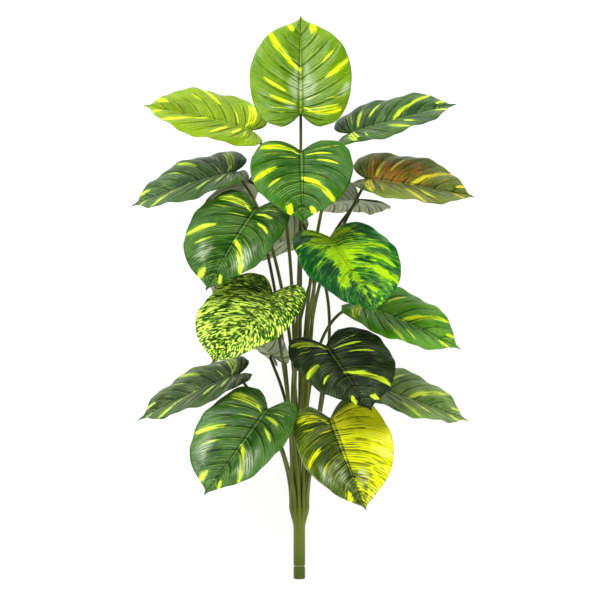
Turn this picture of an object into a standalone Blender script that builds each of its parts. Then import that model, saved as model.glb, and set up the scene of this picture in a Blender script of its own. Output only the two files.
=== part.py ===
"""Artificial pothos spray, laid on its back on a flat surface.

Nineteen printed leaves from one mould stand on plastic petioles that all rise from one moulded stub. The
spray is laid out in a frame of its own, in millimetres: +x to the right, +y up the stem from the cut end of
the stub, +z out of the front of the spray. An empty then leans that frame back until the end of the stub and
the two lowest rear leaves rest on the surface.
"""

import math

import bpy
import numpy as np

MM = 0.001
LEAN = 16.0                 # degrees between the stem and the surface it lies on
CLEARANCE = 0.3             # between pieces that touch, mm

# Leaf mould, in mm, with the petiole joint at the origin and the drip tip on +v
BLADE_LENGTH = 157.5
BLADE_HALF_WIDTH = 73.2
BLADE_THICKNESS = 1.0
LOBE_END = (29.3, -20.0)
HALF_OUTLINE = (LOBE_END, (50.3, -12.2), (64.8, 8.6), (BLADE_HALF_WIDTH, 44.2), (72.5, 73.1), (62.2, 103.2),
                (40.5, 129.0), (18.3, 141.6), (8.9, 146.1), (2.6, 151.0), (0.0, BLADE_LENGTH))
RIB_DEPTH = 2.2             # how far the midrib stands out of the underside at the joint
GROOVE_DEPTH = 0.6          # how far the midrib is sunk into the top
VEIN_RELIEF = 0.45          # height of the ridges along the side veins
RELIEF_END = 0.91           # share of a side vein at which its ridge has run out
EDGE_WAVE = 2.6             # height of the waves along the edge
EDGE_WAVES = 3              # waves along each half
CUPPING = 0.10              # share of the half width by which the edges fall from the fold
FOLD_ROUNDING = 0.1         # share of the half width over which the fold is rounded along the midrib
VEIN_SPREAD = 2.6           # power that crowds the starts of the side veins towards the joint
VEIN_BOW = (0.5, 0.1)       # bend of a side vein: share along its chord, share of it towards the lobes
SINUS_BOW = (0.2, 0.1)      # what is added to both next to the sinus
SINUS_REACH = 0.08          # share of the rows over which that fades
ROWS = 12                   # side veins in the mesh, from the lobe to the tip
ACROSS = (0.0, 0.05, 0.36, 0.7, 1.0)    # points along each vein

# Petioles and stub, in mm
PETIOLE_RADIUS_FOOT = 2.7
PETIOLE_RADIUS_TOP = 2.1
PETIOLE_POINTS = 14
SINUS_SHARE = 0.35          # of a slanted end's rise that meets the blade, where the rim lies in the sinus
FOOT_STRAIGHT = 4.0         # upright stretch at the foot, so that it stands square on the collar
INNER_RING = 5.9
OUTER_RING = 11.8
STUB_RADIUS = 8.4
STUB_LENGTH = 72.0          # height at which the collar and its flutes start
COLLAR_TOP = 104.0
COLLAR_RADIUS = 14.6
SLIT_HEIGHT = 18.0
SLIT_DEPTH = 0.9
FLUTES = 12
FLUTE_DEPTH = 0.9
STUB_PROFILE = (            # radius and height of each ring
    (STUB_RADIUS - 1.2, 0.0), (STUB_RADIUS, 1.4), (STUB_RADIUS, SLIT_HEIGHT - 1.6),
    (STUB_RADIUS - SLIT_DEPTH, SLIT_HEIGHT - 0.9), (STUB_RADIUS - SLIT_DEPTH, SLIT_HEIGHT + 0.9),
    (STUB_RADIUS, SLIT_HEIGHT + 1.6), (STUB_RADIUS - 0.3, 50.0), (STUB_RADIUS, STUB_LENGTH),
    (STUB_RADIUS + 1.4, 80.0), (STUB_RADIUS + 3.4, 88.0), (STUB_RADIUS + 5.2, 96.0), (COLLAR_RADIUS, COLLAR_TOP))

LEAF_GREEN = (0.05, 0.16, 0.02)
PETIOLE_OLIVE = (0.1, 0.12, 0.02)
STUB_GREEN = (0.12, 0.17, 0.03)

# Each leaf: its joint (x, y, z); its heading in the x-y plane, its pitch out of the front and its roll about
# the midrib; the droop from joint to tip and the fold of each half; then its petiole: the angle at which it
# arrives, from the midrib's direction towards the top face's, the share of its height that it climbs before it
# leans, the handle of its upper end, and its foot as the ring and the place on it. Angles are in degrees.
LEAVES = {
    "01": ((2, 664, 10), (90, -15, -1), (10, 7), (16, 0.20, 183, (0, 0))),
    "02": ((-69, 641, 5), (163, 4, 58), (10, 12), (25, 0.70, 73, (1, 2))),
    "03": ((72, 637, 5), (18, 4, -65), (7, 12), (25, 0.69, 37, (1, 4))),
    "04": ((-93, 582, 0), (-168, -2, 64), (14, 12), (49, 0.70, 35, (2, 9))),
    "05": ((96, 572, 0), (-6, 0, -60), (8, 15), (72, 0.70, 157, (2, 10))),
    "06": ((3, 607, 60), (-89, 55, 0), (15, 16), (122, 0.20, 65, (2, 5))),
    "07": ((-60, 527, 55), (-124, 36, 32), (12, 19), (88, 0.34, 200, (2, 7))),
    "08": ((44, 486, 65), (-56, 45, -32), (14, 15), (55, 0.70, 49, (1, 1))),
    "09": ((-37, 409, 80), (-129, 35, 36), (-3, 19), (101, 0.20, 34, (2, 3))),
    "10": ((86, 393, 15), (-19, 10, -61), (12, 12), (25, 0.70, 57, (1, 0))),
    "11": ((37, 335, 75), (-55, 48, -30), (-1, 20), (95, 0.20, 69, (2, 0))),
    "12": ((-87, 293, 20), (-160, 0, 71), (10, 11), (74, 0.41, 52, (2, 6))),
    "13": ((-44, 247, 85), (-126, 24, 36), (-3, 21), (96, 0.25, 34, (2, 4))),
    "14": ((43, 234, 85), (-70, 30, -15), (-11, 27), (93, 0.45, 42, (2, 1))),
    "15": ((92, 278, 25), (-15, -1, -68), (9, 13), (67, 0.38, 96, (1, 5))),
    "16": ((86, 545, -30), (-180, -56, 115), (6, 19), (130, 0.20, 199, (2, 8))),
    "17": ((-74, 573, -52), (-124, -26, 109), (3, 12), (73, 0.70, 175, (2, 2))),
    "18": ((-7, 488, -79), (-171, 13, 120), (4, 19), (45, 0.20, 119, (2, 11))),
    "19": ((-39, 318, -32), (129, 5, 107), (4, 12), (25, 0.70, 27, (1, 3))),
}
RESTING = ("16", "17")      # rear leaves that are moved along z until they touch the surface

# The collar's rings of feet: radius, number of places, degrees to the first place
RINGS = ((0.0, 1, 0), (INNER_RING, 6, 30), (OUTER_RING, 12, 0))


def through(points, at):
    """A smooth curve through the points: cubic Hermite pieces on chord length, read at 0..1."""
    points = np.array(points, float)
    chord = np.r_[0, np.cumsum(np.linalg.norm(np.diff(points, axis=0), axis=1))]
    slope = np.gradient(points, chord, axis=0)
    at = np.clip(at, 0, 1) * chord[-1]
    left = np.clip(np.searchsorted(chord, at, side="right") - 1, 0, len(points) - 2)
    span = chord[left + 1] - chord[left]
    t, span = ((at - chord[left]) / span)[:, None], span[:, None]
    return ((2 * t**3 - 3 * t**2 + 1) * points[left] + (t**3 - 2 * t**2 + t) * span * slope[left]
            + (3 * t**2 - 2 * t**3) * points[left + 1] + (t**3 - t**2) * span * slope[left + 1])


def flat_blade(rows, across):
    """Flat half blade on a grid of side veins: each vein is a quadratic curve from the midrib to the edge."""
    edge = through(HALF_OUTLINE, rows)[:, None, :]
    root = np.stack([0 * rows, BLADE_LENGTH * rows**VEIN_SPREAD], axis=1)[:, None, :]
    chord = edge - root
    towards_lobe = chord[..., ::-1] * (1, -1)
    near_sinus = np.exp(-rows / SINUS_REACH)[:, None, None]
    bend = root + (VEIN_BOW[0] + SINUS_BOW[0] * near_sinus) * chord
    bend = bend + (VEIN_BOW[1] + SINUS_BOW[1] * near_sinus) * towards_lobe
    t = across[None, :, None]
    return (1 - t) ** 2 * root + 2 * t * (1 - t) * bend + t**2 * edge


def droop_curve(v, droop):
    """The midrib as a curve whose slope grows evenly from the joint: its run, its rise and its angle at v.

    The table that is read starts behind the lobes and ends past the tip.
    """
    along = np.linspace(-0.25, 1.05, 261)
    angle = np.radians(droop) * along
    step = (along[1] - along[0]) * BLADE_LENGTH
    run, rise = np.cumsum(np.cos(angle)) * step, np.cumsum(-np.sin(angle)) * step
    share = v / BLADE_LENGTH
    read = [np.interp(share, along, curve - np.interp(0, along, curve)) for curve in (run, rise)]
    return read[0], read[1], np.radians(droop) * share


def leaf_axes(heading, pitch, roll):
    """Unit vectors of the blade: right edge, tip and top face."""
    heading, pitch, roll = np.radians([heading, pitch, roll])
    tip = np.array([math.cos(heading) * math.cos(pitch), math.sin(heading) * math.cos(pitch), math.sin(pitch)])
    front = np.array([0, 0, 1.0]) - tip[2] * tip
    front /= np.linalg.norm(front)
    side = np.cross(tip, front)
    return side * math.cos(roll) - front * math.sin(roll), tip, front * math.cos(roll) + side * math.sin(roll)


def blade_surfaces(droop, fold, wave_phase):
    """Top and bottom of one blade in its own axes, as arrays of rows by columns by 3."""
    rows, across = np.linspace(0, 1, ROWS + 1), np.array(ACROSS)
    half = flat_blade(rows, across)
    flat = np.concatenate([half[:, :0:-1] * (-1, 1), half], axis=1)
    side = np.r_[-across[:0:-1], across][None, :]
    reach, rows = np.abs(side), rows[:, None]
    share = flat[..., 0] / BLADE_HALF_WIDTH
    fold = math.radians(fold)
    folded = np.hypot(share, FOLD_ROUNDING) - FOLD_ROUNDING
    rise = BLADE_HALF_WIDTH * (math.tan(fold) * folded - CUPPING * share**2)
    wave = np.sin(2 * np.pi * EDGE_WAVES * rows + wave_phase + side)
    rise = rise + EDGE_WAVE * reach**2 * np.sin(np.pi * rows) * wave
    ridge = np.where(np.arange(ROWS + 1) % 2, 1.0, -1.0)[:, None]
    rise = rise + VEIN_RELIEF * ridge * np.sin(np.pi * np.clip(reach / RELIEF_END, 0, 1)) * (rows < 1)
    run, lift, angle = droop_curve(flat[..., 1], droop)
    on_rib = (reach == 0) * (1 - rows)

    def placed(height):
        return np.stack([flat[..., 0] * math.cos(fold), run + height * np.sin(angle),
                         lift + height * np.cos(angle)], axis=-1)

    top = placed(rise + BLADE_THICKNESS / 2 - GROOVE_DEPTH * on_rib)
    bottom = placed(rise - BLADE_THICKNESS / 2 - RIB_DEPTH * on_rib)
    return top, bottom


def blade_mesh(name, top, bottom):
    """Closed blade: both faces split alike, one row of quads round the rim, and the last row drawn to the tip."""
    rows, columns = top.shape[0] - 1, top.shape[1]
    body = rows * columns
    points = np.concatenate([top[:-1].reshape(-1, 3), top[-1:, 0], bottom[:-1].reshape(-1, 3), bottom[-1:, 0]])
    index = np.arange(body).reshape(rows, columns)
    a, b, c, d = index[:-1, :-1].ravel(), index[:-1, 1:].ravel(), index[1:, 1:].ravel(), index[1:, :-1].ravel()
    tip = np.full(columns - 1, body)
    upper = np.concatenate([np.stack([a, b, c], 1), np.stack([a, c, d], 1),
                            np.stack([index[-1, :-1], index[-1, 1:], tip], 1)])
    loop = np.concatenate([index[0], index[1:, -1], [body], index[:0:-1, 0]])
    after = np.roll(loop, -1)
    under = body + 1
    rim = np.concatenate([np.stack([loop, loop + under, after + under], 1), np.stack([loop, after + under, after], 1)])
    faces = np.concatenate([upper, upper[:, ::-1] + under, rim])
    mesh = bpy.data.meshes.new(name)
    mesh.from_pydata(points.tolist(), [], faces.tolist())
    return mesh


def leaf_points(surface, joint, axes):
    """Points of a blade, given along its own axes, in the spray's frame."""
    return np.array(joint, float) + surface @ np.array(axes)


def petiole_path(joint, axes, arrival, climb, handle, foot):
    """From the collar straight up, then over to the underside of the leaf along one cubic curve."""
    radius, places, first = RINGS[foot[0]]
    turn = math.radians(first + foot[1] * 360 / places)
    start = np.array([radius * math.cos(turn), COLLAR_TOP + CLEARANCE, radius * math.sin(turn)])
    arrival = math.radians(arrival)
    heading = math.cos(arrival) * axes[1] + math.sin(arrival) * axes[2]
    rim = PETIOLE_RADIUS_TOP * math.cos(arrival)
    drop = BLADE_THICKNESS / 2 + RIB_DEPTH + CLEARANCE + max(-rim, SINUS_SHARE * rim)
    end = np.array(joint, float) - axes[2] * drop
    bend = start + (0, FOOT_STRAIGHT, 0)
    lower = bend + (0, climb * (end[1] - bend[1]), 0)
    upper = end - handle * heading
    t = np.linspace(0, 1, PETIOLE_POINTS - 1)[:, None]
    curve = (1 - t) ** 3 * bend + 3 * t * (1 - t) ** 2 * lower + 3 * t**2 * (1 - t) * upper + t**3 * end
    return np.concatenate([[start], curve])


def painted(obj, colour, roughness):
    material = bpy.data.materials.new(obj.name + "_finish")
    material.use_nodes = True
    shader = material.node_tree.nodes["Principled BSDF"]
    shader.inputs["Base Color"].default_value = (*colour, 1)
    shader.inputs["Roughness"].default_value = roughness
    shader.inputs["Metallic"].default_value = 0.0
    obj.data.materials.append(material)


def added(name, data, frame):
    obj = bpy.data.objects.new(name, data)
    bpy.context.collection.objects.link(obj)
    obj.parent = frame
    return obj


def stub_mesh():
    """Stub along +y: blunt end, slit, plain shank, then a collar with one rib below each outer petiole."""
    sides = 2 * FLUTES
    turn = np.arange(sides) * 2 * np.pi / sides
    rings = []
    for radius, height in STUB_PROFILE:
        depth = FLUTE_DEPTH * np.clip((height - STUB_LENGTH) / (COLLAR_TOP - STUB_LENGTH), 0, 1)
        fluted = radius - depth * (np.arange(sides) % 2)
        rings.append(np.stack([fluted * np.cos(turn), np.full(sides, height), fluted * np.sin(turn)], 1))
    points = np.concatenate([*rings, [(0, 0, 0), (0, COLLAR_TOP, 0)]])
    start, top = len(points) - 2, len(points) - 1
    here = np.arange(sides)
    after = np.roll(here, -1)
    faces = []
    for k in range(len(rings) - 1):
        low, high = k * sides, (k + 1) * sides
        faces += np.stack([here + low, here + high, after + high, after + low], 1).tolist()
    last = (len(rings) - 1) * sides
    faces += np.stack([here, after, np.full(sides, start)], 1).tolist()
    faces += np.stack([after + last, here + last, np.full(sides, top)], 1).tolist()
    mesh = bpy.data.meshes.new("stem_stub")
    mesh.from_pydata(points.tolist(), [], faces)
    return mesh


def leaned(points):
    """Points of the spray's frame turned as the empty turns them, in mm."""
    lean = math.radians(LEAN)
    turn = np.array([[1, 0, 0], [0, math.cos(lean), math.sin(lean)], [0, -math.sin(lean), math.cos(lean)]])
    return points @ turn


def petiole_curve(name, path):
    curve = bpy.data.curves.new(name, "CURVE")
    curve.dimensions = "3D"
    curve.bevel_depth = 1.0
    curve.bevel_resolution = 2
    curve.use_fill_caps = True
    spline = curve.splines.new("POLY")
    spline.points.add(len(path) - 1)
    for point, place, share in zip(spline.points, path, np.linspace(0, 1, len(path))):
        point.co = (*place, 1)
        point.radius = PETIOLE_RADIUS_FOOT + (PETIOLE_RADIUS_TOP - PETIOLE_RADIUS_FOOT) * share
    return curve


def build():
    for obj in list(bpy.data.objects):
        bpy.data.objects.remove(obj)
    frame = bpy.data.objects.new("spray_frame", None)
    bpy.context.collection.objects.link(frame)

    stub = added("stem_stub", stub_mesh(), frame)
    painted(stub, STUB_GREEN, 0.5)
    reached = [leaned(np.array([vertex.co for vertex in stub.data.vertices]))]
    surface_height = reached[0][:, 2].min()

    for number, (joint, turns, shape, route) in LEAVES.items():
        axes = leaf_axes(*turns)
        top, bottom = blade_surfaces(*shape, 0.9 * int(number))
        joint = np.array(joint, float)
        if number in RESTING:
            lowest = min(leaned(leaf_points(side, joint, axes))[..., 2].min() for side in (top, bottom))
            joint[2] += (surface_height - lowest) / math.cos(math.radians(LEAN))
        placed = [leaf_points(side, joint, axes) for side in (top, bottom)]
        leaf = added("leaf_" + number, blade_mesh("leaf_" + number, *placed), frame)
        painted(leaf, LEAF_GREEN, 0.35)
        reached += [leaned(side.reshape(-1, 3)) for side in placed]
        path = petiole_path(joint, axes, *route)
        petiole = added("petiole_" + number, petiole_curve("petiole_" + number, path), frame)
        painted(petiole, PETIOLE_OLIVE, 0.45)

    reached = np.concatenate(reached)
    low, high = reached.min(axis=0), reached.max(axis=0)
    frame.scale = (MM, MM, MM)
    frame.rotation_euler.x = math.radians(LEAN)
    frame.location = (-(low[0] + high[0]) / 2 * MM, -(low[1] + high[1]) / 2 * MM, -low[2] * MM)
    bpy.context.view_layer.update()


build()
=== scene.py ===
"""Looks of the artificial pothos spray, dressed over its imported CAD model."""

import math

import bpy
import numpy as np
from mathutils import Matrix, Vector


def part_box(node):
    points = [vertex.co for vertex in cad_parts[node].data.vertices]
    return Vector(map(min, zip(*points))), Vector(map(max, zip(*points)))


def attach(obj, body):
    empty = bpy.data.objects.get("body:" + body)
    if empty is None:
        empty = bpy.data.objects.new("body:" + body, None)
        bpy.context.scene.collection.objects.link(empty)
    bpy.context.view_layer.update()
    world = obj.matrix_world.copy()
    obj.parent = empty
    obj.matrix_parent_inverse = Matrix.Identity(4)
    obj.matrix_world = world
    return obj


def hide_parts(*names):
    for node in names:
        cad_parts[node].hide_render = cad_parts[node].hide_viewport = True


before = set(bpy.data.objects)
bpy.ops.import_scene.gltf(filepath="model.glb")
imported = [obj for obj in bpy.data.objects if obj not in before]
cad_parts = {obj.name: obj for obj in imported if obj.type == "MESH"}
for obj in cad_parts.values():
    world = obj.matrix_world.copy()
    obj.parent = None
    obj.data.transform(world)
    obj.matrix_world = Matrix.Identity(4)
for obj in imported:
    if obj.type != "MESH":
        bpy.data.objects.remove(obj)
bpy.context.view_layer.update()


# The stub is the moulded stick that the whole spray is held by: a blunt end with a slit just above it, a plain
# shank, and a collar whose ribs run up into the petioles. It is solid green plastic, darker towards the end. It
# is worked out in the spray's own frame, +y up the stem and +z out of the front, in mm, like everything here.
STUB_RADIUS, STUB_EDGE, STUB_EDGE_INSET, STUB_AROUND = 8.4, 1.4, 1.2, 144
SLIT_HEIGHT, SLIT_DEPTH, SLIT_HALF_FLOOR, SLIT_HALF_MOUTH = 18.0, 0.9, 0.7, 1.6
SLIT_HIGHLIGHT_RISE = 0.9    # how far above the slit's middle the painted highlight on its lip lies
COLLAR_START, COLLAR_TOP = 72.0, 104.0
FLUTES, FLUTE_RING, FLUTE_RADIUS = 12, 11.8, 2.8
LEAN = math.radians(16)    # the spray rests on its rearmost leaves and on its stub
LEAN_TURN = np.array([[1, 0, 0], [0, math.cos(LEAN), math.sin(LEAN)], [0, -math.sin(LEAN), math.cos(LEAN)]])


def smooth(low, high, value):
    """0 below low, 1 above high, and 3t^2 - 2t^3 between them, t being the share of the way.

    With low above high it runs the other way: 1 below high, 0 above low.
    """
    t = np.clip((value - low) / (high - low), 0, 1)
    return t * t * (3 - 2 * t)


def stub_rings(heights, turns):
    """Rings of the stub: the shank's radius and the collar's outline, blended by 3t^2 - 2t^3 up its height.

    The shank loses the edge's inset times (1 - h)^2 at its end, h running from 0 to 1 over the edge, and a smooth
    step at the slit. The collar's outline is the union of FLUTES circles on a ring, R cos a + sqrt(r^2 - (R sin a)^2),
    where a is the turn from the nearest one, so that each petiole on the outer ring runs on down it as a rib.
    """
    shank = STUB_RADIUS - STUB_EDGE_INSET * (1 - np.clip(heights / STUB_EDGE, 0, 1)) ** 2
    shank = shank - SLIT_DEPTH * smooth(SLIT_HALF_MOUTH, SLIT_HALF_FLOOR, np.abs(heights - SLIT_HEIGHT))
    pitch = 2 * np.pi / FLUTES
    away = (turns + pitch / 2) % pitch - pitch / 2
    ribs = FLUTE_RING * np.cos(away) + np.sqrt(np.clip(FLUTE_RADIUS**2 - (FLUTE_RING * np.sin(away)) ** 2, 0, None))
    grown = smooth(COLLAR_START, COLLAR_TOP, heights)[:, None]
    fluted = (1 - grown) * shank[:, None] + grown * ribs[None]
    return np.stack([fluted * np.cos(turns), np.broadcast_to(heights[:, None], fluted.shape),
                     fluted * np.sin(turns)], axis=-1)


def tube_faces(rings, around):
    """Faces of a closed tube: quads between rings, then a fan at either end onto one point each, kept last."""
    at = np.arange(rings * around).reshape(rings, around)
    after = np.roll(at, -1, axis=1)
    sides = np.stack([at[:-1], at[1:], after[1:], after[:-1]], axis=-1).reshape(-1, 4).tolist()
    first, last = rings * around, rings * around + 1
    start = np.stack([at[0], after[0], np.full(around, first)], axis=-1).tolist()
    end = np.stack([after[-1], at[-1], np.full(around, last)], axis=-1).tolist()
    return sides + start + end


def piece(name, points, faces, materials, stands_for):
    """A piece of the spray at the origin: its points are leaned, set down where the CAD lies, and put in metres."""
    mesh = bpy.data.meshes.new(name)
    mesh.from_pydata(((points @ LEAN_TURN + LAY) / 1000).tolist(), [], faces)
    mesh.shade_smooth()
    for material in materials:
        mesh.materials.append(material)
    made = bpy.data.objects.new(name, mesh)
    bpy.context.collection.objects.link(made)
    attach(made, "root")
    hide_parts(stands_for)
    return made


def attribute(mesh, name, values):
    """Keeps one number a point on the mesh, for a material to read."""
    mesh.attributes.new(name, "FLOAT", "POINT").data.foreach_set("value", np.ravel(values).astype(np.float32))


class Wire:
    """The output of a shader node. Sums, differences, products, quotients and powers of wires add Math nodes."""

    def __init__(self, tree, socket):
        self.tree, self.socket = tree, socket

    def node(self, kind, settings, inputs, output=0):
        """Adds a node: first its settings, then its inputs by name or number, each a wire or a plain value."""
        made = self.tree.nodes.new("ShaderNode" + kind)
        for setting, value in settings.items():
            setattr(made, setting, value)
        for name, value in inputs.items():
            if isinstance(value, Wire):
                self.tree.links.new(value.socket, made.inputs[name])
            else:
                made.inputs[name].default_value = value
        return Wire(self.tree, made.outputs[output])

    def maths(self, operation, *values):
        """Adds a Math node on wires or plain numbers."""
        return self.node("Math", {"operation": operation}, dict(enumerate(values)))

    def __add__(self, other):
        return self.maths("ADD", self, other)

    def __sub__(self, other):
        return self.maths("SUBTRACT", self, other)

    def __rsub__(self, other):
        return self.maths("SUBTRACT", other, self)

    def __mul__(self, other):
        return self.maths("MULTIPLY", self, other)

    def __truediv__(self, other):
        return self.maths("DIVIDE", self, other)

    def __pow__(self, other):
        return self.maths("POWER", self, other)

    def __abs__(self):
        return self.maths("ABSOLUTE", self)

    __radd__, __rmul__ = __add__, __mul__

    def step(self, low, high):
        """0 below low, 1 above high, smooth between them, and the other way round where low is above high."""
        return self.node("MapRange", {"interpolation_type": "SMOOTHSTEP"},
                         {"Value": self, "From Min": low, "From Max": high})

    def named(self, name):
        """What a mesh keeps under a name, a number a point."""
        return self.node("Attribute", {"attribute_name": name}, {}, "Fac")

    def point(self, x, y, z):
        """A vector for a noise to read, of wires or plain numbers."""
        return self.node("CombineXYZ", {}, {"X": x, "Y": y, "Z": z})

    def noise(self, vector, detail):
        """Cloudy noise from 0 to 1 whose blots are about 1 across, as the vector counts."""
        return self.node("TexNoise", {}, {"Vector": vector, "Scale": 1.0, "Detail": detail}, "Fac")

    def mix(self, mask, low, high):
        """The low colour where the mask is 0, the high one where it is 1."""
        factor, colour_a, colour_b, result = 0, 6, 7, 2    # sockets of one name are told apart by number
        return self.node("Mix", {"data_type": "RGBA"}, {factor: mask, colour_a: low, colour_b: high}, result)

    def bump(self, height, strength, distance):
        """The normal of a surface raised by the height times the distance in metres."""
        return self.node("Bump", {}, {"Height": height, "Strength": strength, "Distance": distance}, "Normal")


def finish(name, roughness, specular):
    """A new material: its Principled shader, and a wire to add nodes from."""
    material = bpy.data.materials.new(name)
    material.use_nodes = True
    shader = material.node_tree.nodes["Principled BSDF"]
    shader.inputs["Roughness"].default_value = roughness
    shader.inputs["Specular IOR Level"].default_value = specular
    return material, shader, Wire(material.node_tree, None)


def feed(shader, wire, name):
    """Plugs a wire into a named input of the shader."""
    wire.tree.links.new(wire.socket, shader.inputs[name])


def paint(red, green, blue):
    """A colour as it is read off a screen, 0 to 255, made linear: ((c + 0.055) / 1.055) ^ 2.4."""
    screen = np.array([red, green, blue]) / 255
    linear = np.where(screen > 0.04045, ((screen + 0.055) / 1.055) ** 2.4, screen / 12.92)
    return (*linear.tolist(), 1.0)


stub_plastic, shader, wire = finish("stub_plastic", 0.42, 0.3)
height = wire.named("height")
mottle = wire.noise(wire.point(wire.named("turn") * 4, height * 30, 0), 4)
shade = (height / COLLAR_TOP).step(0.05, 0.7) * 0.75 + mottle * 0.5 - 0.1
plain = wire.mix(shade, paint(62, 78, 8), paint(126, 140, 42))
# A pale line painted on the slit's upper lip: a painted highlight.
lip_highlight = abs(height - (SLIT_HEIGHT + SLIT_HIGHLIGHT_RISE)).step(0.9, 0.3)
feed(shader, wire.mix(lip_highlight * 0.8, plain, paint(178, 188, 120)), "Base Color")
drawn = wire.noise(wire.point(wire.named("turn") * 9, height * 0.06, 3), 3)
feed(shader, wire.bump(drawn, 0.5, 0.0006), "Normal")

# The rings lie close together over the rounded end, the slit and the growing collar.
heights = np.r_[0, 0.4, 0.9, STUB_EDGE, np.linspace(3, 15.4, 8), np.linspace(16.2, 19.8, 13),
                np.linspace(22, 68, 16), np.linspace(70, COLLAR_TOP, 30)]
turns = np.linspace(0, 2 * np.pi, STUB_AROUND, endpoint=False)
rings = stub_rings(heights, turns)
points = np.concatenate([rings.reshape(-1, 3), [(0, 0, 0), (0, COLLAR_TOP, 0)]])
# The leaned stub is laid where the CAD's stub lies, and every other piece goes with it.
LAY = np.array(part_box("stem_stub")[0]) * 1000 - (points @ LEAN_TURN).min(axis=0)
stub = piece("stub", points, tube_faces(*rings.shape[:2]), [stub_plastic], "stem_stub")
attribute(stub.data, "height", points[:, 1])
attribute(stub.data, "turn", np.r_[np.tile(np.abs(turns - np.pi), len(heights)), 0, 0])


# Nineteen petioles stand on the collar in rings of 1, 6 and 12, rise in a bundle and lean out one by one to the
# joint under their leaves. Each is a plastic sheath drawn over a wire, olive green below, darker above and brown
# at its joint. A leaf's row gives its joint, the turns of its blade, the blade's bend, and its petiole's route.
LEAVES = {  # joint; (heading, pitch, roll); (droop, fold); (arrival, climb, handle, (ring, place))
    "01": ((2, 664, 10), (90, -15, -1), (10, 7), (16, 0.20, 183, (0, 0))),
    "02": ((-69, 641, 5), (163, 4, 58), (10, 12), (25, 0.70, 73, (1, 2))),
    "03": ((72, 637, 5), (18, 4, -65), (7, 12), (25, 0.69, 37, (1, 4))),
    "04": ((-93, 582, 0), (-168, -2, 64), (14, 12), (49, 0.70, 35, (2, 9))),
    "05": ((96, 572, 0), (-6, 0, -60), (8, 15), (72, 0.70, 157, (2, 10))),
    "06": ((3, 607, 60), (-89, 55, 0), (15, 16), (122, 0.20, 65, (2, 5))),
    "07": ((-60, 527, 55), (-124, 36, 32), (12, 19), (88, 0.34, 200, (2, 7))),
    "08": ((44, 486, 65), (-56, 45, -32), (14, 15), (55, 0.70, 49, (1, 1))),
    "09": ((-37, 409, 80), (-129, 35, 36), (-3, 19), (101, 0.20, 34, (2, 3))),
    "10": ((86, 393, 15), (-19, 10, -61), (12, 12), (25, 0.70, 57, (1, 0))),
    "11": ((37, 335, 75), (-55, 48, -30), (-1, 20), (95, 0.20, 69, (2, 0))),
    "12": ((-87, 293, 20), (-160, 0, 71), (10, 11), (74, 0.41, 52, (2, 6))),
    "13": ((-44, 247, 85), (-126, 24, 36), (-3, 21), (96, 0.25, 34, (2, 4))),
    "14": ((43, 234, 85), (-70, 30, -15), (-11, 27), (93, 0.45, 42, (2, 1))),
    "15": ((92, 278, 25), (-15, -1, -68), (9, 13), (67, 0.38, 96, (1, 5))),
    "16": ((86, 545, -32.8), (-180, -56, 115), (6, 19), (130, 0.20, 199, (2, 8))),
    "17": ((-74, 573, -53.9), (-124, -26, 109), (3, 12), (73, 0.70, 175, (2, 2))),
    "18": ((-7, 488, -79), (-171, 13, 120), (4, 19), (45, 0.20, 119, (2, 11))),
    "19": ((-39, 318, -32), (129, 5, 107), (4, 12), (25, 0.70, 27, (1, 3))),
}
COLLAR_RINGS = ((0.0, 1, 0), (5.9, 6, 30), (FLUTE_RING, FLUTES, 0))    # radius, places, degrees to the first
PETIOLE_FOOT, PETIOLE_TOP, PETIOLE_NARROWING = 2.7, 2.1, 0.8    # its radius below and above, and its end's share
PETIOLE_SINK, FOOT_STRAIGHT, RUN_INTO_RIB = 3.0, 4.0, 1.6
PETIOLE_STEPS, PETIOLE_AROUND = 72, 18
BLADE_THICKNESS, RIB_DEPTH, CLEARANCE, SINUS_SHARE = 1.0, 2.2, 0.3, 0.35


def leaf_axes(heading, pitch, roll):
    """The blade's right edge, tip and top face: the tip from two angles, the other two turned about it by the roll."""
    heading, pitch, roll = np.radians([heading, pitch, roll])
    tip = np.array([math.cos(heading) * math.cos(pitch), math.sin(heading) * math.cos(pitch), math.sin(pitch)])
    front = np.array([0, 0, 1.0]) - tip[2] * tip
    front /= np.linalg.norm(front)
    side = np.cross(tip, front)
    return np.array([side * math.cos(roll) - front * math.sin(roll), tip,
                     front * math.cos(roll) + side * math.sin(roll)])


def petiole_path(joint, axes, arrival, climb, handle, foot):
    """Straight up out of the collar, then one cubic curve to the underside of the leaf, and on into its rib.

    The curve's first handle climbs a share of the way up. Its last one lies back along the heading on which the
    petiole arrives: cos a times the leaf's tip plus sin a times its top face.
    """
    radius, places, first = COLLAR_RINGS[foot[0]]
    turn = math.radians(first + foot[1] * 360 / places)
    start = np.array([radius * math.cos(turn), COLLAR_TOP + CLEARANCE, radius * math.sin(turn)])
    arrival = math.radians(arrival)
    heading = math.cos(arrival) * axes[1] + math.sin(arrival) * axes[2]
    rim = PETIOLE_TOP * math.cos(arrival)
    drop = BLADE_THICKNESS / 2 + RIB_DEPTH + CLEARANCE + max(-rim, SINUS_SHARE * rim)
    end = np.array(joint, float) - axes[2] * drop
    bend = start + (0, FOOT_STRAIGHT, 0)
    lower = bend + (0, climb * (end[1] - bend[1]), 0)
    upper = end - handle * heading
    t = np.linspace(0, 1, PETIOLE_STEPS)[:, None]
    curve = (1 - t) ** 3 * bend + 3 * t * (1 - t) ** 2 * lower + 3 * t**2 * (1 - t) * upper + t**3 * end
    return np.concatenate([[start - (0, PETIOLE_SINK, 0), start], curve, [end + heading + RUN_INTO_RIB * axes[2]]])


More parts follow.
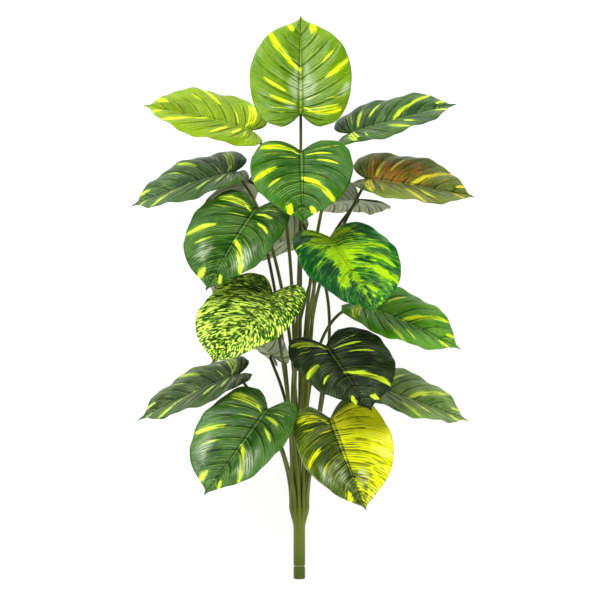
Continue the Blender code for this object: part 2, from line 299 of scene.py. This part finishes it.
def swept(path, radius):
    """Rings of a radius along a path, square to it, each measured from the plane that the path roughly keeps to."""
    along = np.gradient(path, axis=0)
    along /= np.linalg.norm(along, axis=1)[:, None]
    aside = (0.3, 0, 0.1)    # so that a path that only climbs has a plane too
    level = np.cross(path[-1] - path[0] + aside, (0, 1, 0))
    across = np.cross(along, level / np.linalg.norm(level))
    across /= np.linalg.norm(across, axis=1)[:, None]
    out = np.cross(along, across)
    turn = np.linspace(0, 2 * np.pi, PETIOLE_AROUND, endpoint=False)[None, :, None]
    return path[:, None] + radius[:, None, None] * (np.cos(turn) * across[:, None] - np.sin(turn) * out[:, None])


petiole_plastic, shader, wire = finish("petiole_plastic", 0.4, 0.3)
along = wire.named("along")
lengthwise = wire.noise(wire.point(wire.named("turn") * 5, along * 6, wire.named("leaf")), 3)
shade = along * 0.8 + lengthwise * 2.0 - 0.95
barked = wire.mix(shade.step(0.0, 1.0), paint(128, 140, 48), paint(44, 46, 4))
feed(shader, wire.mix(along.step(0.93, 0.985) * 0.8, barked, paint(34, 30, 16)), "Base Color")
drawn = wire.noise(wire.point(wire.named("turn") * 8, along * 4, wire.named("leaf")), 2)
feed(shader, wire.bump(drawn, 0.4, 0.0004), "Normal")

for number, (joint, turned, _, route) in LEAVES.items():
    path = petiole_path(joint, leaf_axes(*turned), *route)
    share = np.linspace(0, 1, len(path))
    radius = PETIOLE_FOOT + (PETIOLE_TOP - PETIOLE_FOOT) * share
    radius[-1] *= PETIOLE_NARROWING
    rings = swept(path, radius)
    points = np.concatenate([rings.reshape(-1, 3), path[[0, -1]]])
    made = piece("stalk_" + number, points, tube_faces(*rings.shape[:2]), [petiole_plastic],
                 "petiole_" + number)
    attribute(made.data, "along", np.r_[np.repeat(share, rings.shape[1]), 0, 1])
    attribute(made.data, "turn", np.r_[np.tile(np.abs(np.linspace(-1, 1, rings.shape[1])), len(path)), 0, 0])
    attribute(made.data, "leaf", np.full(len(points), float(number)))


# The leaves are all pressed from one mould: a heart-shaped blade of printed foliage stock with a drip tip, a
# sunk midrib that stands out below as a rib, side veins between which the blade swells, and a waved edge. Points
# are set by row, 0 at the lobes to 1 at the tip, and by reach, -1 at the left edge to 1 at the right one.
BLADE_LENGTH, BLADE_HALF_WIDTH = 157.5, 73.2
HALF_OUTLINE = ((29.3, -20.0), (50.3, -12.2), (64.8, 8.6), (BLADE_HALF_WIDTH, 44.2), (72.5, 73.1), (62.2, 103.2),
                (40.5, 129.0), (18.3, 141.6), (8.9, 146.1), (2.6, 151.0), (0.0, BLADE_LENGTH))
FOLD_ROUNDING, CUPPING, BULGE, SWELL = 0.1, 0.10, 3.2, 1.9
EDGE_WAVE, EDGE_WAVES, EDGE_RIPPLE, EDGE_RIPPLES = 2.6, 3, 0.9, 8
GROOVE_DEPTH, GROOVE_REACH, RIB_REACH, EDGE_THINNING = 0.8, 0.022, 0.05, 0.35
VEIN_ROWS = (0, 0.10, 0.21, 0.33, 0.46, 0.56, 0.655, 0.745, 0.83, 0.91, 1)    # where the side veins lie
ROWS, COLUMNS, ROOTS_CROWDED, COLUMNS_CROWDED = 116, 28, 2.6, 1.25    # the last two draw the grid to the midrib
WAVE_SHIFT, NOISE_SHIFT = 0.9, 3.7    # from one leaf to the next, so that no two wave or are clouded alike


def through(points, at):
    """A smooth curve through the points: cubic Hermite pieces on chord length, read at 0..1."""
    points = np.array(points, float)
    chord = np.r_[0, np.cumsum(np.linalg.norm(np.diff(points, axis=0), axis=1))]
    slope = np.gradient(points, chord, axis=0)
    at = np.clip(at, 0, 1) * chord[-1]
    left = np.clip(np.searchsorted(chord, at, side="right") - 1, 0, len(points) - 2)
    span = chord[left + 1] - chord[left]
    t, span = ((at - chord[left]) / span)[:, None], span[:, None]
    return ((2 * t**3 - 3 * t**2 + 1) * points[left] + (t**3 - 2 * t**2 + t) * span * slope[left]
            + (3 * t**2 - 2 * t**3) * points[left + 1] + (t**3 - t**2) * span * slope[left + 1])


def flat_blade(rows, reach):
    """Flat half blade: a row is a quadratic curve that leaves the midrib as a side vein does and bows to the edge."""
    edge = through(HALF_OUTLINE, rows)[:, None, :]
    root = np.stack([0 * rows, BLADE_LENGTH * rows**ROOTS_CROWDED], axis=1)[:, None, :]
    chord = edge - root
    near_sinus = np.exp(-rows / 0.08)[:, None, None]
    bend = root + (0.5 + 0.2 * near_sinus) * chord + (0.16 + 0.04 * near_sinus) * chord[..., ::-1] * (1, -1)
    t = reach[None, :, None]
    return (1 - t) ** 2 * root + 2 * t * (1 - t) * bend + t**2 * edge


def droop_curve(v, droop):
    """The midrib as a curve whose slope grows evenly from the joint: its run, its rise and its angle at v."""
    along = np.linspace(-0.25, 1.05, 261)
    angle = np.radians(droop) * along
    step = (along[1] - along[0]) * BLADE_LENGTH
    run, rise = np.cumsum(np.cos(angle)) * step, np.cumsum(-np.sin(angle)) * step
    share = v / BLADE_LENGTH
    read = [np.interp(share, along, curve - np.interp(0, along, curve)) for curve in (run, rise)]
    return read[0], read[1], np.radians(droop) * share


def blade_faces(rows, columns):
    """Quads of the top, the same quads turned over for the underside, fans to the tip, and the rim between them."""
    body = rows * columns
    at = np.arange(body).reshape(rows, columns)
    quads = np.stack([at[:-1, :-1], at[:-1, 1:], at[1:, 1:], at[1:, :-1]], axis=-1).reshape(-1, 4)
    tip = np.stack([at[-1, :-1], at[-1, 1:], np.full(columns - 1, body)], axis=-1)
    loop = np.concatenate([at[0], at[1:, -1], [body], at[:0:-1, 0]])
    after = np.roll(loop, -1)
    under = body + 1
    rim = np.stack([loop, loop + under, after + under, after], axis=-1)
    return (quads.tolist() + tip.tolist(), (quads[:, ::-1] + under).tolist() + (tip[:, ::-1] + under).tolist(),
            rim.tolist())


def veins_passed(row):
    """How many side veins lie below a row, with the share of the way to the next one."""
    return np.interp(row, VEIN_ROWS, np.arange(len(VEIN_ROWS)))


def blade_points(row, reach, droop, fold, phase):
    """Top and underside of one blade, rows by columns by 3, and last the tip.

    The height over the flat blade is the fold, rounded along the midrib, less the cupping, plus long waves and
    short ripples along the edge that grow with the reach, plus the bulge of either half, sin of pi times the
    reach, plus the swell between side veins: |sin| of pi times the count of veins passed. Along the midrib the
    top is sunk by a groove, exp(-(out / w)^2), and the underside stands out by a rib, cos^2 of the reach.
    """
    half = flat_blade(row, reach)
    flat = np.concatenate([half[:, :0:-1] * (-1, 1), half], axis=1)
    side = np.r_[-reach[:0:-1], reach][None, :]
    out, r = np.abs(side), row[:, None]
    share, fold = flat[..., 0] / BLADE_HALF_WIDTH, math.radians(fold)
    rise = BLADE_HALF_WIDTH * (math.tan(fold) * (np.hypot(share, FOLD_ROUNDING) - FOLD_ROUNDING) - CUPPING * share**2)
    rise = rise + EDGE_WAVE * out**2 * np.sin(np.pi * r) * np.sin(2 * np.pi * EDGE_WAVES * r + phase + side)
    rise = rise + EDGE_RIPPLE * out**4 * np.sin(np.pi * r) * np.sin(2 * np.pi * EDGE_RIPPLES * r + 2.3 * phase - side)
    rise = rise + BULGE * np.sin(np.pi * out) * np.sqrt(np.sin(np.pi * np.clip(r, 0, 1)))
    pillow = np.abs(np.sin(np.pi * veins_passed(r))) ** 0.7 - 0.5
    rise = rise + SWELL * pillow * np.sin(np.pi * np.clip(out / 0.97, 0, 1)) ** 0.8 * (1 - r**8)
    run, lift, angle = droop_curve(flat[..., 1], droop)
    rib = (1 - r) * np.cos(np.pi / 2 * np.clip(out / RIB_REACH, 0, 1)) ** 2
    groove = (1 - 0.5 * r) * np.exp(-(out / GROOVE_REACH) ** 2)
    thick = BLADE_THICKNESS * (1 - EDGE_THINNING * out**6) / 2

    def placed(height):
        return np.stack([flat[..., 0] * math.cos(fold), run + height * np.sin(angle),
                         lift + height * np.cos(angle)], axis=-1)

    return placed(rise + thick - GROOVE_DEPTH * groove), placed(rise - thick - RIB_DEPTH * rib)


# The leaves' print: every leaf but three carries the same yellow streaks, printed along the side veins of the
# mould. The other three are a blade with a lime heart, a flecked one, and one that is yellow over half its width.
# A streak is set by reach and row at either end and by half its width in rows.
STREAKS = (
    (-0.02, 0.715, -0.55, 0.750, 0.022), (-0.50, 0.748, -0.97, 0.752, 0.020), (-0.55, 0.900, -1.00, 0.893, 0.016),
    (0.62, 0.872, 1.00, 0.885, 0.024), (0.50, 0.671, 0.74, 0.671, 0.010), (0.50, 0.560, 0.93, 0.548, 0.021),
    (0.05, 0.330, 0.25, 0.225, 0.020), (0.15, 0.226, 0.86, 0.206, 0.036), (0.20, 0.285, 0.70, 0.262, 0.012),
    (-0.30, 0.497, -0.64, 0.497, 0.014), (-0.13, 0.378, -0.52, 0.376, 0.018), (0.50, 0.362, 0.72, 0.330, 0.007),
    (-0.22, 0.290, -0.62, 0.262, 0.005), (-0.35, 0.225, -0.75, 0.215, 0.004), (0.12, 0.440, 0.42, 0.436, 0.004),
)


def streaked(reach, row, streaks=STREAKS):
    """1 along a streak, 0.5 at its edge and 0 outside: 1 less half the distance from its line, in half widths."""
    field = np.zeros(np.broadcast(reach, row).shape)
    for from_reach, from_row, to_reach, to_row, half_width in streaks:
        t = (reach - from_reach) / (to_reach - from_reach)
        inside = np.clip(t, 0, 1)
        beyond = np.abs(t - inside) * abs(to_reach - from_reach) / 0.05
        width = half_width * (0.6 + 0.4 * np.sin(np.pi * inside))
        away = np.abs(row - from_row - (to_row - from_row) * inside) / width
        field = np.maximum(field, 1 - 0.5 * np.hypot(away, beyond))
    return field


HEART_ARMS = (
    (0.02, 0.22, 0.70, 0.13, 0.075), (-0.02, 0.24, -0.45, 0.17, 0.050), (0.02, 0.38, 0.45, 0.30, 0.075),
    (-0.02, 0.36, -0.50, 0.33, 0.040), (0.45, 0.34, 0.92, 0.30, 0.026), (-0.02, 0.57, -0.80, 0.60, 0.034),
    (-0.55, 0.46, -0.80, 0.47, 0.016), (0.02, 0.52, 0.26, 0.50, 0.050), (0.50, 0.57, 0.68, 0.56, 0.026),
    (-0.30, 0.70, -0.95, 0.72, 0.022), (0.02, 0.72, 0.60, 0.76, 0.040), (-0.10, 0.83, -0.50, 0.86, 0.016),
)


def lime_hearted(reach, row):
    """A band along the midrib that narrows to the tip, and arms that leave it along the side veins.

    Both stand on a low even base, from which the material's noise lifts lime specks beside the heart.
    """
    band = 1 - 0.5 * np.abs(reach) / (0.06 + 0.27 * np.sin(np.pi * np.clip(row * 0.85 + 0.2, 0, 1)))
    return 0.16 + 0.78 * np.clip(np.maximum(band, streaked(reach, row, HEART_ARMS)), 0, 1)


def flecked(reach, row):
    """Grows evenly from the lobes on, and falls off at the tip: the flecks come from the material's noise."""
    return 0.345 + 0.17 * smooth(0.05, 0.7, row) - 0.25 * smooth(0.93, 1.0, row) + 0 * reach


def half_yellow(reach, row):
    """Full on the outer left from the second side vein on, weaker towards the midrib and tip; streaks on the right."""
    left = smooth(0.08, -0.08, reach) * smooth(0.06, 0.22, row) * (1 - 0.36 * smooth(0.50, 0.95, row))
    left = left * (0.78 + 0.22 * smooth(-0.3, -0.7, reach))
    return np.clip(np.maximum(left, streaked(reach, row)), 0, 1)


LINES_ON_TOP, LINES_BELOW = 5, 3    # the fine lines between one side vein and the next


def leaf_print(name, deep, fresh, halo, bright, ragged=1.1, grain=(5.0, 130.0), blots=0.4, cut=0.15, blush=None,
               gloss=0.12, glint=0.55, lines=0.75, painted_sheen=()):
    """The printed top: cloudy green, the print in two tones over it, then the lines of the veins, and light painted
    on:
    glints, highlights, shade in the grooves and patches of sheen.

    A mask is a sum of noises drawn out along the side veins. Ragged is how much the fine noise breaks up the print,
    grain its counts by reach and row, and blots how much the cloudy noise does. The fine lines are a sine of the
    count of veins, made narrow by a power, and show in patches; cut is how far they cut through the print, glint
    how far they are painted pale beside it as glints, and lines how dark the side veins and the midrib's sides are
    painted, a printed line with painted shade in the groove. Blush is a tone for the left half. The last argument
    lists patches of painted sheen, pale as a reflection: the reach and row of each one's middle, and its half sizes
    in both.
    """
    material, shader, wire = finish(name, 0.3, gloss)
    reach, row, vein, field, seed = (wire.named(n) for n in ("reach", "row", "vein", "print", "leaf"))
    out = abs(reach)
    fibre = wire.noise(wire.point(reach * grain[0], row * grain[1], seed), 4)
    cloudy = wire.noise(wire.point(reach * 1.7, row * 6, seed + 7), 3)
    broken = wire.noise(wire.point(reach * 4, vein * 1.5, seed + 3), 2)
    past = vein - wire.maths("ROUND", vein)
    comb = (wire.maths("SINE", vein * (2 * math.pi * LINES_ON_TOP) + fibre * 5.0) * 0.5 + 0.5) ** 3
    inner = out.step(1.0, 0.45)
    patch = (cloudy * 0.8 + broken * 0.8 + inner * 0.1).step(0.78, 1.06)
    groove = abs(past).step(0.10, 0.01) * inner * broken.step(0.34, 0.52)
    bank = abs(past - 0.16).step(0.10, 0.02) * inner * broken.step(0.35, 0.6)
    on_rib = out.step(0.018, 0.006)
    by_rib = abs(out - 0.034).step(0.022, 0.004)
    shade = cloudy + fibre * 0.7 + out * 0.2 - 0.5
    ground = wire.mix(shade.step(0.05, 0.75), deep, fresh)
    if blush:
        warm = reach.step(-0.95, -0.5) * reach.step(0.12, -0.05) * row.step(0.08, 0.3) * row.step(0.95, 0.6)
        spot = reach.step(-0.02, 0.1) * reach.step(0.5, 0.25) * row.step(0.16, 0.22) * row.step(0.42, 0.3)
        ground = wire.mix((warm + spot + fibre * 4.4 + cloudy * 0.8 - 3.3).step(0.0, 0.5), ground, blush)
    # Where the fine lines show, they are painted pale grey green: painted glints along their ridges.
    ground = wire.mix(comb * patch * glint, ground, wire.mix(0.6, halo, paint(176, 196, 150)))
    worn = field + (fibre - 0.5) * ragged + (cloudy - 0.5) * blots - comb * cut * (1.4 - field)
    toned = wire.mix((worn + broken * 0.3).step(0.22, 0.76) * 0.9, ground, halo)
    printed = wire.mix(worn.step(0.47, 0.66), toned, bright)
    # Pale lines painted along the bank of each side vein are painted highlights.
    ribbed = wire.mix(bank * 0.4 + on_rib * 0.4, printed, halo)
    # Patches of painted sheen: pale grey green painted where the light would be mirrored.
    for at_reach, at_row, wide, long in painted_sheen:
        near = (abs(reach - at_reach) / wide + abs(row - at_row) / long).step(1.0, 0.1)
        ribbed = wire.mix(near * (fibre * 2.0 + comb * 0.5 - 0.72), ribbed, paint(206, 222, 180))
    # The side veins and both sides of the midrib are painted dark: printed vein lines with painted shade in their
    # grooves.
    dark = (*(0.25 * tone for tone in deep[:3]), 1.0)
    feed(shader, wire.mix((groove + by_rib * 0.75) * lines, ribbed, dark), "Base Color")
    feed(shader, 0.2 + fibre * 0.16, "Roughness")
    height = comb * (patch * 0.5 + 0.06) - groove + bank * 0.4 + fibre * 0.4 - by_rib * 0.6
    feed(shader, wire.bump(height, 1.0, 0.0014), "Normal")
    return material


def leaf_underside(name, dull, line):
    """The unprinted side: dull grey green, with the veins drawn through it darker."""
    material, shader, wire = finish(name, 0.62, 0.3)
    reach, row, vein, seed = (wire.named(n) for n in ("reach", "row", "vein", "leaf"))
    streaky = wire.noise(wire.point(reach * 2, row * 60, seed), 3)
    near_vein = abs(vein - wire.maths("ROUND", vein)).step(0.2, 0.02)
    lines = (wire.maths("SINE", vein * (2 * math.pi * LINES_BELOW)) * 0.5 + 0.5) ** 2
    mask = streaky * 0.8 + lines * 0.3 + near_vein * 0.4 - 0.2
    feed(shader, wire.mix(mask.step(0.1, 0.9), dull, line), "Base Color")
    feed(shader, wire.bump(streaky * 0.3 + near_vein * 0.5, 0.7, 0.001), "Normal")
    return material


PRINTS = {  # the print, then its tones as read off a screen: deep and fresh green, halo, bright
    "01": (streaked, (70, 112, 0), (116, 156, 0), (164, 204, 4), (240, 250, 10)),
    "02": (streaked, (94, 126, 0), (138, 170, 0), (174, 206, 4), (234, 248, 20)),
    "03": (streaked, (20, 60, 12), (62, 98, 34), (120, 165, 34), (205, 235, 44)),
    "04": (streaked, (18, 54, 12), (60, 96, 34), (112, 155, 34), (190, 222, 54)),
    "05": (streaked, (66, 88, 12), (120, 138, 44), (180, 168, 30), (238, 232, 50)),
    "06": (streaked, (20, 70, 0), (58, 112, 8), (126, 180, 18), (236, 248, 24)),
    "07": (streaked, (14, 58, 2), (58, 104, 20), (128, 176, 34), (222, 242, 56)),
    "08": (lime_hearted, (2, 54, 20), (20, 96, 36), (96, 176, 14), (178, 228, 14)),
    "09": (flecked, (8, 46, 2), (28, 76, 8), (112, 156, 22), (220, 250, 96)),
    "10": (streaked, (34, 108, 0), (98, 168, 14), (146, 204, 24), (226, 246, 34)),
    "11": (streaked, (6, 20, 4), (34, 50, 20), (90, 122, 20), (204, 230, 40)),
    "12": (streaked, (24, 54, 10), (70, 96, 36), (112, 145, 38), (186, 214, 64)),
    "13": (streaked, (14, 62, 4), (66, 116, 26), (126, 172, 36), (214, 236, 54)),
    "14": (half_yellow, (24, 50, 2), (88, 114, 12), (184, 200, 10), (244, 248, 2)),
    "15": (streaked, (52, 98, 20), (134, 166, 76), (160, 196, 66), (214, 238, 74)),
}
REAR_PRINT = (streaked, (34, 74, 12), (70, 106, 30), (120, 165, 30), (205, 235, 40))
PRINTS.update({number: REAR_PRINT for number in ("16", "17", "18", "19")})
OWN_WAYS = {  # where a leaf's print, its painted glints and its painted sheen depart from the others
    "01": {"gloss": 0.3, "glint": 0.1, "lines": 0.55,
           "painted_sheen": ((-0.1, 0.58, 0.2, 0.25), (0.13, 0.55, 0.24, 0.3), (0.86, 0.36, 0.26, 0.08),
                    (-0.2, 0.33, 0.2, 0.1))},
    "02": {"glint": 0.1, "lines": 0.35},
    "05": {"blush": paint(186, 108, 10)},
    "07": {"painted_sheen": ((-0.65, 0.72, 0.4, 0.15), (0.6, 0.76, 0.35, 0.12))},
    "08": {"ragged": 2.2, "grain": (5.0, 50.0), "blots": 1.8, "lines": 0.3},
    "09": {"ragged": 3.4, "grain": (8.5, 72.0), "blots": 0.6, "lines": 0.5},
    "11": {"glint": 0.35},
    "13": {"gloss": 0.3, "painted_sheen": ((-0.6, 0.7, 0.45, 0.17), (0.72, 0.7, 0.3, 0.16))},
    "14": {"ragged": 2.2, "grain": (3.4, 80.0), "blots": 0.6, "cut": 0.4, "gloss": 0.4,
           "painted_sheen": ((0.34, 0.78, 0.34, 0.16), (0.75, 0.7, 0.3, 0.12), (-0.35, 0.82, 0.3, 0.1))},
}
grey_underside = leaf_underside("leaf_underside", paint(172, 180, 140), paint(60, 72, 36))

row = np.linspace(0, 1, ROWS + 1)
reach = np.linspace(0, 1, COLUMNS + 1) ** COLUMNS_CROWDED
side = np.r_[-reach[:0:-1], reach]
top_faces, under_faces, rim_faces = blade_faces(ROWS, len(side))
for number, (joint, turned, bent, _) in LEAVES.items():
    drawing, *tones = PRINTS[number]
    surfaces = blade_points(row, reach, *bent, WAVE_SHIFT * int(number))
    placed = [np.concatenate([s[:-1].reshape(-1, 3), s[-1:, 0]]) @ leaf_axes(*turned) + joint for s in surfaces]
    top = leaf_print("leaf_print_" + number, *(paint(*tone) for tone in tones), **OWN_WAYS.get(number, {}))
    made = piece("blade_" + number, np.concatenate(placed), top_faces + under_faces + rim_faces,
                 [top, grey_underside], "leaf_" + number)
    # The rim is printed like the top, and stays sharp where both faces are smooth.
    kinds = np.repeat([0, 1, 0], [len(top_faces), len(under_faces), len(rim_faces)])
    made.data.polygons.foreach_set("material_index", kinds)
    made.data.polygons.foreach_set("use_smooth", np.arange(len(kinds)) < len(top_faces) + len(under_faces))
    for name, values in (("reach", np.broadcast_to(side, (ROWS, len(side)))),
                         ("row", np.broadcast_to(row[:-1, None], (ROWS, len(side)))),
                         ("vein", np.broadcast_to(veins_passed(row[:-1, None]), (ROWS, len(side)))),
                         ("print", drawing(side[None], row[:-1, None]))):
        at_tip = {"row": 1.0, "vein": len(VEIN_ROWS) - 1.0}.get(name, 0.0)
        attribute(made.data, name, np.tile(np.r_[np.ravel(values), at_tip], 2))
    attribute(made.data, "leaf", np.full(len(made.data.vertices), NOISE_SHIFT * int(number)))


# The studio, as in a catalogue photograph: a pale floor that the spray lies on and that glows a little, so that no
# shadow darkens it, softboxes in front and all round, the strongest over its top left and a low one beyond its tip,
# and a room that is white low down and dark overhead, for the leaves would mirror a white ceiling as haze.
FLOOR_SIZE = 14
bpy.ops.mesh.primitive_plane_add(size=FLOOR_SIZE)
floor = bpy.context.object
floor.name = "floor"
floor_paper, shader, wire = finish("floor_paper", 0.9, 0.1)
shader.inputs["Base Color"].default_value = (0.25, 0.25, 0.25, 1)
shader.inputs["Emission Color"].default_value = (1, 1, 1, 1)
shader.inputs["Emission Strength"].default_value = 0.9
floor.data.materials.append(floor_paper)

world = bpy.data.worlds.new("white_room")
bpy.context.scene.world = world
world.use_nodes = True
wire = Wire(world.node_tree, None)
skyward = wire.node("SeparateXYZ", {}, {"Vector": wire.node("TexCoord", {}, {}, "Generated")}, "Z")
room = wire.mix(skyward.step(0.08, 0.5), (1, 1, 1, 1), (0.12, 0.12, 0.12, 1))
feed(world.node_tree.nodes["Background"], room, "Color")
bpy.context.scene.view_settings.view_transform = "Standard"

CENTRE = np.array([1.0, 398.5, 0.0])    # the middle of the picture, which every light faces
SOFTBOXES = (  # name, place in mm, width in metres, power in watts
    ("softbox_front", (-900, 1750, 2500), 0.9, 62),
    ("softbox_head", (-700, 2200, 350), 0.9, 20),
    ("softbox_top", (0, 1760, 1900), 0.25, 5),
    ("softbox_foot", (700, -700, 2500), 1.0, 15),
    ("softbox_right", (1500, 300, 1500), 1.0, 4),
)
aim = (CENTRE @ LEAN_TURN + LAY) / 1000
for name, place, size, power in SOFTBOXES:
    light = bpy.data.lights.new(name, "AREA")
    light.size, light.energy = size, power
    lamp = bpy.data.objects.new(name, light)
    bpy.context.collection.objects.link(lamp)
    at = (np.array(place, float) @ LEAN_TURN + LAY) / 1000
    lamp.location = at
    lamp.rotation_euler = Vector(aim - at).to_track_quat("-Z", "Y").to_euler()

# The camera looks square at the front of the spray, from 3 m, so it looks down at 74 degrees on the lying object.
VIEW_DISTANCE, VIEW_WIDTH = 3000, 858    # mm; the width is what the picture takes in at the spray
lens = bpy.data.cameras.new("camera")
lens.lens = lens.sensor_width * VIEW_DISTANCE / VIEW_WIDTH
camera = bpy.data.objects.new("camera", lens)
bpy.context.collection.objects.link(camera)
camera.location = ((CENTRE + (0, 0, VIEW_DISTANCE)) @ LEAN_TURN + LAY) / 1000
camera.rotation_euler = (LEAN, 0, 0)
bpy.context.scene.camera = camera
